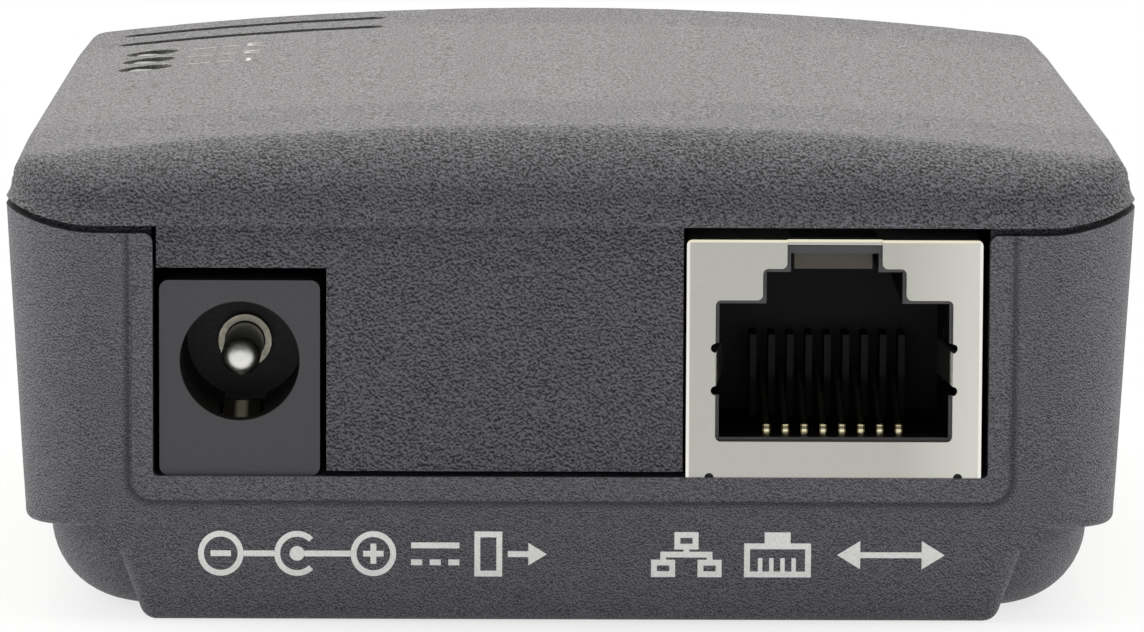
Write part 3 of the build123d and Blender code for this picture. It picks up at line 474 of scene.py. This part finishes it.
def grained_finish(name, colour, grain, roughness, metallic=0.0, specular=0.5):
    """A fine-grained surface; colour takes the adder and the grain to the colour's output."""
    material, shader, add = new_finish(name)
    fine = noise(add, grain)
    feed(shader, {
        "Base Color": colour(add, window(add, fine, *GRAIN_RANGE)),
        "Roughness": spread(add, fine, *GRAIN_RANGE, *roughness),
        "Normal": relief(add, fine, GRAINED_BUMP),
    })
    shader.inputs["Metallic"].default_value = metallic
    shader.inputs["Specular IOR Level"].default_value = specular
    return material


def from_axis(add):
    """Distance from the DC jack's axis."""
    low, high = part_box("dc_jack_centre_pin")
    centre = (low + high) / 2
    return flat_distance(add, (1, 0, 1), (-centre.x, 0, -centre.z))


def jack_colour(add, grain):
    """Satin black, with painted shade deep black inside the bore."""
    face = blend_colours(add, grain, *JACK_FACE)
    # Painted shade: the bore is painted deep black
    return blend_colours(add, window(add, from_axis(add), *BORE), face, BORE_SHADE_COLOUR)


def pin_colour(add, grain):
    """Bright steel, with painted shade in a groove where the pin leaves its yellower collar."""
    steel = blend_colours(add, grain, *STEEL)
    radius = from_axis(add)
    plated = blend_colours(add, window(add, radius, *COLLAR), steel, COLLAR_COLOUR)
    # Painted shade in the groove at the collar
    groove = product(
        add, window(add, radius, *GROOVE_INSIDE), window(add, radius, *GROOVE_OUTSIDE),
        window(add, away(add, "Y"), *GROOVE_BACK),
    )
    return blend_colours(add, groove, plated, GROOVE_SHADE_COLOUR)


def leaf_colour(add, grain):
    """Brass with a painted highlight down the middle and painted shade beside."""
    low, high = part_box("dc_jack_centre_pin")
    # Painted highlight down the middle of the leaf, painted shade beside it
    beside = window(add, away(add, "X", (low.x + high.x) / 2), *LEAF_HIGHLIGHT)
    return blend_colours(add, beside, blend_colours(add, grain, *BRASS), LEAF_SHADE_COLOUR)


def insert_colour(add, grain):
    """Deep black, greyer on the front rim."""
    rim = window(add, away(add, "Y"), *INSERT_RIM)
    return blend_colours(add, rim, blend_colours(add, grain, *INSERT), INSERT_RIM_COLOUR)


def contact_colour(add, grain):
    """Gilt, with a painted highlight along the crown of each contact and painted shade down its sides.
    """
    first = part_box("data_jack_contacts")[0].x + CONTACT_HALF
    # Painted highlight on each contact's crown, painted shade down its sides
    beside = maths(add, "PINGPONG", maths(add, "SUBTRACT", along(add, "X"), first), CONTACT_PITCH / 2)
    shade = window(add, beside, *CONTACT_SHINE)
    return blend_colours(add, shade, blend_colours(add, grain, *GILT), GILT_SHADE)


def hole_walls(add):
    """1 on the upright walls of the vents and lamp holes, which get painted light."""
    return product(
        add, window(add, away(add, "X", HOLES_MIDDLE_X), *HOLES_ACROSS),
        window(add, away(add, "Y", HOLES_MIDDLE_Y), *HOLES_ALONG),
        window(add, away(add, "Z"), *HOLES_ABOVE), window(add, facing(add, "Z"), *HOLES_UPRIGHT),
    )


def pad_line(add):
    """How dark the painted shadow round each pad is: down both sides, round the corners and along the
    foot.
    """
    past = maths(add, "MAXIMUM", maths(add, "SUBTRACT", away(add, "X"), PAD_HALF - PAD_CORNER), 0.0)
    under = maths(add, "MAXIMUM", maths(add, "SUBTRACT", PAD_FOOT + PAD_CORNER, along(add, "Z")), 0.0)
    squares = maths(add, "ADD", maths(add, "POWER", past, 2.0), maths(add, "POWER", under, 2.0))
    outside = maths(add, "SUBTRACT", maths(add, "SQRT", squares), PAD_CORNER)
    line = product(
        add, window(add, outside, *PAD_INSIDE), window(add, outside, *PAD_OUTSIDE),
        window(add, away(add, "Y"), *PAD_ENDS),
    )
    return maths(add, "MULTIPLY", line, PAD_SHADOW_STRENGTH)


def case_colour(add, colour, grain, depth, fine):
    """Moulded plastic's colour: painted highlights on the tips and upper sides of its bumps, painted
    shade between and under them, with faint clouds.
    """
    # Painted light and shade: set against the copy shifted up, the bumps' upper sides turn pale and
    # their undersides dark
    above = noise(add, grain, CASE_NOISE, shift=tuple(part * grain for part in PAINTED_LIGHT_SHIFT))
    painted_relief = maths(add, "SUBTRACT", maths(add, "ADD", fine, fine), above)
    dark = tuple((1 - depth) * part for part in colour)
    light = tuple((1 + depth) * part for part in colour)
    grained = blend_colours(add, window(add, painted_relief, *PAINTED_RELIEF_RANGE), dark, light)
    clouds = spread(add, noise(add, CLOUD_SIZE * grain, CLOUD_NOISE), *GRAIN_RANGE, 0, CLOUD_LIGHT)
    return blend_colours(add, clouds, grained, light)


def case_finish(name, colour, grain, depth, bump, roughness, pads=False):
    """Spark-textured moulded plastic of packed fine bumps, painted pale on the hole walls as painted
    light, with or without a painted shadow round the pads.
    """
    material, shader, add = new_finish(name)
    fine = noise(add, grain, CASE_NOISE)
    plastic = case_colour(add, colour, grain, depth, fine)
    # Painted shadow round the pads
    if pads:
        plastic = blend_colours(add, pad_line(add), plastic, PAD_SHADOW_COLOUR)
    strip = window(add, away(add, "Y"), *STRIP)
    gloss = spread(add, fine, *GRAIN_RANGE, *roughness)
    feed(shader, {
        # Painted light: the walls of the vents and lamp holes are painted pale
        "Base Color": blend_colours(add, hole_walls(add), plastic, HOLES_PAINTED_LIGHT),
        "Roughness": maths(add, "ADD", gloss, spread(add, strip, 0, 1, 0, STRIP_DULL)),
        "Normal": relief(add, fine, bump),
    })
    shader.inputs["IOR"].default_value = PLASTIC_IOR
    return material


def nickel_tints(add):
    """The parts of a shield whose colour differs from its plate's, as factors and colours: painted
    sheen, highlights and shade, and bare brass.
    """
    front = window(add, facing(add, "Y"), *FRONTAL)
    across = away(add, "X", JACK_MIDDLE)
    height = away(add, "Z")
    depth = away(add, "Y")
    cheek = window(add, away(add, "X", CHEEK_MIDDLE), *CHEEK)
    sheared = window(add, facing(add, "Y"), *EDGE_SLOPE)
    return [
        # Painted sheen on the cheek beside the opening
        (product(add, front, cheek), CHEEK_SHEEN_COLOUR),
        # Painted highlights on the folded rims; the top one is also gold like the bare edge
        (product(add, front, window(add, across, *RIM_SIDE)), RIM_HIGHLIGHT_COLOUR),
        (product(add, front, window(add, height, *RIM_TOP)), RIM_TOP_HIGHLIGHT_COLOUR),
        (product(add, window(add, depth, *EDGE), sheared), EDGE_COLOUR),
        # Painted shade on the latch flap
        (product(
            add, window(add, across, *FLAP_ACROSS), window(add, height, *FLAP_ABOVE),
            window(add, depth, *FLAP_BEHIND),
        ), FLAP_SHADE_COLOUR),
    ]


def nickel_finish():
    """Nickel plate with brushed lines, painted highlights where it is folded, bare brass where it is
    sheared, and springs painted matt and bright as painted light.
    """
    material, shader, add = new_finish("nickel_finish")
    fine = noise(add, NICKEL_GRAIN, stretch=NICKEL_STRETCH)
    colour = blend_colours(add, window(add, fine, *GRAIN_RANGE), *NICKEL)
    for factor, tint in nickel_tints(add):
        colour = blend_colours(add, factor, colour, tint)
    # Painted light: the springs are painted matt and bright
    spring = product(
        add, window(add, facing(add, "X"), *SPRING_SLOPE),
        window(add, away(add, "X", JACK_MIDDLE), *SPRING_ACROSS),
        window(add, away(add, "Y"), *SPRING_BRIGHT),
    )
    feed(shader, {
        "Base Color": blend_colours(add, spring, colour, SPRING_LIGHT_COLOUR),
        "Metallic": spread(add, spring, 0, 1, 1, SPRING_METALLIC),
        "Roughness": spread(add, fine, *GRAIN_RANGE, *NICKEL_ROUGHNESS),
        "Normal": relief(add, fine, NICKEL_BUMP),
    })
    return material


def lens_finish():
    """Clear tinted resin of the lamps."""
    material, shader, add = new_finish("lamp_lens_finish")
    feed(shader, {"Base Color": blend_colours(add, noise(add, LENS_GRAIN), *LENS)})
    shader.inputs["Roughness"].default_value = LENS_ROUGHNESS
    shader.inputs["IOR"].default_value = PLASTIC_IOR
    shader.inputs["Transmission Weight"].default_value = LENS_CLEAR
    return material


def board_finish():
    """Green lacquer over copper tracks, with a fine weave under it."""
    material, shader, add = new_finish("board_finish")
    coordinates = add("ShaderNodeTexCoord").outputs["Object"]
    tracks = add("ShaderNodeTexBrick", {"Vector": coordinates}, **BOARD_TRACKS)
    weave = noise(add, BOARD_WEAVE)
    shade = spread(add, weave, *GRAIN_RANGE, 0, BOARD_SHADE)
    feed(shader, {
        "Base Color": blend_colours(add, shade, tracks.outputs["Color"], BOARD_COLOUR),
        "Roughness": spread(add, weave, *GRAIN_RANGE, *BOARD_ROUGHNESS),
        "Normal": relief(add, tracks.outputs["Fac"], BOARD_BUMP),
    })
    return material


def make_finishes():
    """Every finish on the part, by name."""
    finishes = {
        "cover": case_finish("cover_finish", **COVER),
        "base": case_finish("base_finish", **BASE),
        "jack_black": grained_finish(
            "jack_black_finish", jack_colour, grain=0.12 * MM, roughness=(0.38, 0.5),
        ),
        "insert_black": grained_finish(
            "insert_black_finish", insert_colour, grain=0.2 * MM, roughness=(0.5, 0.6), specular=0.2,
        ),
        "nickel": nickel_finish(),
        "gold": grained_finish(
            "gold_finish", contact_colour, grain=0.2 * MM, roughness=(0.15, 0.25), metallic=1.0,
        ),
        "steel": grained_finish(
            "pin_steel_finish", pin_colour, grain=0.25 * MM, roughness=(0.3, 0.45), metallic=1.0,
        ),
        "brass": grained_finish(
            "leaf_brass_finish", leaf_colour, grain=0.1 * MM, roughness=(0.3, 0.45), metallic=0.4,
        ),
        "lens": lens_finish(),
        "board": board_finish(),
    }
    for key, values in PLAIN_FINISHES.items():
        finishes[key] = plain_finish(**values)
    return finishes


def dress_nodes(finishes):
    """Give each carried-over node its finish."""
    for key, names in NODE_FINISHES.items():
        for name in names:
            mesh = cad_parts[name].data
            mesh.materials.clear()
            mesh.materials.append(finishes[key])


def arc_points(x, radius, start, end, steps):
    """Points along an arc about the marks' middle, from and to a turn in degrees."""
    points = []
    for step in range(steps + 1):
        angle = radians(start + (end - start) * step / steps)
        points.append((x + radius * cos(angle), MARK_MIDDLE + radius * sin(angle)))
    return points


def ring(x, start=0, end=360, steps=RING_STEPS):
    """A stroked arc, in short pieces."""
    outer = arc_points(x, RING_RADIUS, start, end, steps)
    inner = arc_points(x, RING_RADIUS - STROKE, end, start, steps)
    return [[outer[i], outer[i + 1], inner[steps - i - 1], inner[steps - i]] for i in range(steps)]


def disc(x):
    """A dot."""
    return [arc_points(x, DOT, 0, 360, DOT_STEPS)[:-1]]


def bar(x0, x1, z0, z1):
    """A filled rectangle."""
    return [[(x0, z0), (x1, z0), (x1, z1), (x0, z1)]]


def level(x0, x1):
    """A stroke along the marks' middle."""
    return bar(x0, x1, MARK_MIDDLE - STROKE / 2, MARK_MIDDLE + STROKE / 2)


def upright(x, z0, z1):
    """An upright stroke."""
    return bar(x - STROKE / 2, x + STROKE / 2, z0, z1)


def frame_box(x0, x1, z0, z1):
    """A stroked rectangle."""
    return (
        bar(x0, x1, z0, z0 + STROKE) + bar(x0, x1, z1 - STROKE, z1)
        + bar(x0, x0 + STROKE, z0 + STROKE, z1 - STROKE) + bar(x1 - STROKE, x1, z0 + STROKE, z1 - STROKE)
    )


def arrow(x0, x1, head):
    """An arrow along the marks' middle, pointing from x0 to x1."""
    way = 1 if x1 > x0 else -1
    neck = x1 - way * head
    wing = head * HEAD_SPREAD
    tip = [(neck, MARK_MIDDLE - wing), (x1, MARK_MIDDLE), (neck, MARK_MIDDLE + wing)]
    return level(*sorted((x0, neck))) + [tip]


def polarity_sign(minus_x):
    """Rings with a minus and a plus, joined to a socket and its centre contact."""
    socket_x = minus_x + RING_PITCH
    plus_x = socket_x + RING_PITCH
    shapes = ring(minus_x) + level(minus_x - SIGN_REACH, minus_x + SIGN_REACH)
    shapes += level(minus_x + RING_RADIUS, socket_x - RING_RADIUS)
    shapes += ring(socket_x, *SOCKET_ARC, SOCKET_STEPS) + disc(socket_x)
    shapes += level(socket_x + DOT, plus_x - RING_RADIUS)
    shapes += ring(plus_x) + level(plus_x - SIGN_REACH, plus_x + SIGN_REACH)
    shapes += upright(plus_x, MARK_MIDDLE + STROKE / 2, MARK_MIDDLE + SIGN_REACH)
    shapes += upright(plus_x, MARK_MIDDLE - SIGN_REACH, MARK_MIDDLE - STROKE / 2)
    return shapes


def direct_sign(left):
    """A line over dashes, the sign of a direct current."""
    line = MARK_MIDDLE + DIRECT_RISE
    dashes = MARK_MIDDLE - DIRECT_RISE
    shapes = bar(left, left + DIRECT_WIDTH, line, line + STROKE)
    for dash in range(DASH_COUNT):
        x = left + dash * DASH_PITCH
        shapes += bar(x, x + DASH_WIDTH, dashes - STROKE, dashes)
    return shapes


def power_mark(left):
    """Polarity sign with a centre contact, direct-current sign and an outlet with an arrow."""
    minus_x = left + RING_RADIUS
    direct_x = minus_x + 2 * RING_PITCH + RING_RADIUS + SIGN_GAP
    outlet_x = direct_x + DIRECT_WIDTH + SIGN_GAP
    shapes = polarity_sign(minus_x) + direct_sign(direct_x)
    shapes += frame_box(outlet_x, outlet_x + OUTLET_WIDTH, MARK_LOW, MARK_HIGH)
    shapes += arrow(outlet_x + OUTLET_ARROW[0], outlet_x + OUTLET_ARROW[1], OUTLET_HEAD)
    return shapes


def stations_sign(left):
    """One station linked to two below it."""
    top = left + STATION_TOP
    under = MARK_HIGH - STATION_HEIGHT
    over = MARK_LOW + STATION_HEIGHT
    shapes = frame_box(top - STATION_HALF, top + STATION_HALF, under, MARK_HIGH)
    shapes += upright(top, MARK_MIDDLE + STROKE / 2, under)
    shapes += level(left + STATION_LINE[0], left + STATION_LINE[1])
    for place in STATIONS_BELOW:
        x = left + place
        shapes += upright(x, over, MARK_MIDDLE - STROKE / 2)
        shapes += frame_box(x - STATION_HALF, x + STATION_HALF, MARK_LOW, over)
    return shapes


def socket_sign(left):
    """A modular socket's outline with its contacts."""
    top = MARK_HIGH - SOCKET_TAB_HEIGHT
    shapes = frame_box(left, left + SOCKET_WIDTH, MARK_LOW, top)
    shapes += bar(left + SOCKET_TAB[0], left + SOCKET_TAB[1], top, MARK_HIGH)
    for contact in range(PIN_COUNT):
        x = left + PIN_FIRST + contact * PIN_PITCH
        shapes += bar(x, x + PIN_WIDTH, MARK_LOW + STROKE, MARK_LOW + PIN_TOP)
    return shapes


def data_mark(left):
    """Linked-stations sign, a socket outline with its contacts, and a two-way arrow."""
    middle = left + TWO_WAY_PLACE
    shapes = stations_sign(left) + socket_sign(left + SOCKET_PLACE)
    shapes += arrow(middle, middle + TWO_WAY_REACH, TWO_WAY_HEAD)
    shapes += arrow(middle, middle - TWO_WAY_REACH, TWO_WAY_HEAD)
    return shapes


def printed(name, shapes, finish, place):
    """A thin printed mark; place takes flat millimetres to a point on the part in metres."""
    builder = bmesh.new()
    for outline in shapes:
        builder.faces.new([builder.verts.new(place(x, z)) for x, z in outline])
    bmesh.ops.remove_doubles(builder, verts=builder.verts, dist=PRINT_WELD)
    bmesh.ops.recalc_face_normals(builder, faces=builder.faces)
    mesh = bpy.data.meshes.new(name)
    builder.to_mesh(mesh)
    builder.free()
    print_piece(name, mesh, finish)


def print_piece(name, mesh, finish):
    """A printed piece of a mesh, which rides on the part."""
    mesh.materials.append(finish)
    piece = bpy.data.objects.new(name, mesh)
    bpy.context.scene.collection.objects.link(piece)
    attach(piece, "root")


def node_surface(name):
    """The surface of a node, to cast rays at."""
    return BVHTree.FromObject(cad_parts[name], bpy.context.evaluated_depsgraph_get())


def end_marks(finishes):
    """The marks on the base under the two output sockets."""
    start = Vector((0, -RAY_START, MARK_MIDDLE * MM))
    face = node_surface("base_shell").ray_cast(start, Vector((0, 1, 0)))[0].y - PRINT_PROUD

    def place(x, z):
        return Vector((x * MM, face, z * MM))

    printed("power_output_mark", power_mark(POWER_LEFT), finishes["print"], place)
    printed("data_output_mark", data_mark(DATA_LEFT), finishes["print"], place)


def number_mesh(name, number):
    """A plain number as a flat mesh, in millimetres."""
    text = bpy.data.curves.new(name, "FONT")
    text.body = str(number)
    text.size = NUMBER_SIZE
    text.align_x = "CENTER"
    holder = bpy.data.objects.new(f"{name}_text", text)
    bpy.context.scene.collection.objects.link(holder)
    bpy.context.view_layer.update()
    flat = bpy.data.meshes.new_from_object(holder.evaluated_get(bpy.context.evaluated_depsgraph_get()))
    bpy.data.objects.remove(holder)
    return flat


def lamp_labels(finishes):
    """A leader line and a plain number beside each lamp, read from the input end, laid on the crown."""
    crown = node_surface("top_cover")

    def place(x, y):
        hit = crown.ray_cast(Vector((x * MM, y * MM, RAY_START)), Vector((0, 0, -1)))[0]
        return hit + Vector((0, 0, PRINT_PROUD))

    for number in (1, 2, 3):
        low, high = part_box(f"status_led_{number}")
        row = (low.y + high.y) / 2 / MM
        leader = []
        for left, right in LEADER_DASHES:
            leader += bar(left, right, row - LEADER_WIDTH / 2, row + LEADER_WIDTH / 2)
        printed(f"lamp_leader_{number}", leader, finishes["label"], place)
        name = f"lamp_number_{number}"
        flat = number_mesh(name, number)
        for vertex in flat.vertices:
            vertex.co = place(NUMBER_MIDDLE - vertex.co.x, row + NUMBER_RISE - vertex.co.y)
        print_piece(name, flat, finishes["label"])


def floor_finish():
    """Matt white that keeps the part's shadow, plain white further out and clear from below."""
    material, shader, add = new_finish("floor_finish")
    shader.inputs["Base Color"].default_value = (*FLOOR_COLOUR, 1)
    shader.inputs["Roughness"].default_value = FLOOR_ROUGHNESS
    shader.inputs["Specular IOR Level"].default_value = 0.0
    reach = flat_distance(add, (1 / cad_high.x, 1 / cad_high.y, 0))
    near = 1 + WHITE_NEAR / cad_high.x
    far = 1 + WHITE_FAR / cad_high.x
    rays = add("ShaderNodeLightPath").outputs
    seen = maths(add, "MAXIMUM", rays["Is Camera Ray"], rays["Is Glossy Ray"])
    seen = maths(add, "MAXIMUM", seen, rays["Is Transmission Ray"])
    white = product(add, seen, spread(add, reach, near, far, WHITE_LEAST, 1))
    glow = add("ShaderNodeEmission", Strength=1.0).outputs["Emission"]
    above = mix_shaders(add, white, shader.outputs["BSDF"], glow)
    below = add("ShaderNodeBsdfTransparent").outputs["BSDF"]
    under = add("ShaderNodeNewGeometry").outputs["Backfacing"]
    output = material.node_tree.nodes["Material Output"]
    feed(output, {"Surface": mix_shaders(add, under, above, below)})
    return material


def make_floor():
    """A wide floor just under the part."""
    builder = bmesh.new()
    for x, y in ((-1, -1), (1, -1), (1, 1), (-1, 1)):
        builder.verts.new((x * FLOOR_HALF, y * FLOOR_HALF, -FLOOR_DROP))
    builder.faces.new(builder.verts)
    mesh = bpy.data.meshes.new("floor")
    builder.to_mesh(mesh)
    builder.free()
    floor = bpy.data.objects.new("floor", mesh)
    bpy.context.scene.collection.objects.link(floor)
    mesh.materials.append(floor_finish())


def fill_ramp(stops):
    """Set the stops of a colour ramp to the sky's."""
    for stop in SKY[1:-1]:
        stops.new(stop[0])
    for stop, (place, strength, tint) in zip(stops, SKY):
        stop.position = place
        stop.color = (*(strength * part for part in tint), 1)


def make_world():
    """Soft surroundings: a white sweep behind, a bright soft box overhead, a dim room in front."""
    world = bpy.data.worlds.new("surroundings")
    bpy.context.scene.world = world
    world.use_nodes = True
    add = adder(world.node_tree)
    direction = add("ShaderNodeTexCoord").outputs["Generated"]
    parts = add("ShaderNodeSeparateXYZ", {"Vector": direction}).outputs
    forward = maths(add, "MULTIPLY", parts["Y"], -1.0)
    turn = maths(add, "DIVIDE", maths(add, "ARCTAN2", parts["Z"], forward), pi)
    ramp = add("ShaderNodeValToRGB", {"Fac": turn})
    fill_ramp(ramp.color_ramp.elements)
    power = maths(add, "MULTIPLY_ADD", parts["X"], -SKY_SIDE, SKY_POWER)
    seen = add("ShaderNodeLightPath").outputs["Is Camera Ray"]
    strength = add("ShaderNodeMix", {"Factor": seen, "A": power}, B=1.0)
    feed(world.node_tree.nodes["Background"], {
        "Color": blend_colours(add, seen, ramp.outputs["Color"], WHITE),
        "Strength": strength.outputs["Result"],
    })


def make_camera():
    """The camera at the photograph's viewing angle."""
    data = bpy.data.cameras.new("camera")
    data.lens = CAMERA_LENS
    data.sensor_width = CAMERA_SENSOR
    data.clip_start, data.clip_end = CAMERA_CLIP
    camera = bpy.data.objects.new("camera", data)
    forward = Vector((
        sin(CAMERA_YAW) * cos(CAMERA_PITCH),
        cos(CAMERA_YAW) * cos(CAMERA_PITCH),
        -sin(CAMERA_PITCH),
    ))
    camera.location = CAMERA_PLACE
    camera.rotation_mode = "QUATERNION"
    camera.rotation_quaternion = forward.to_track_quat("-Z", "Y") @ Quaternion((0, 0, 1), CAMERA_ROLL)
    bpy.context.scene.collection.objects.link(camera)
    bpy.context.scene.camera = camera


def main():
    finishes = make_finishes()
    dress_nodes(finishes)
    end_marks(finishes)
    lamp_labels(finishes)
    make_floor()
    make_world()
    make_camera()
    bpy.context.scene.view_settings.view_transform = "Standard"


main()
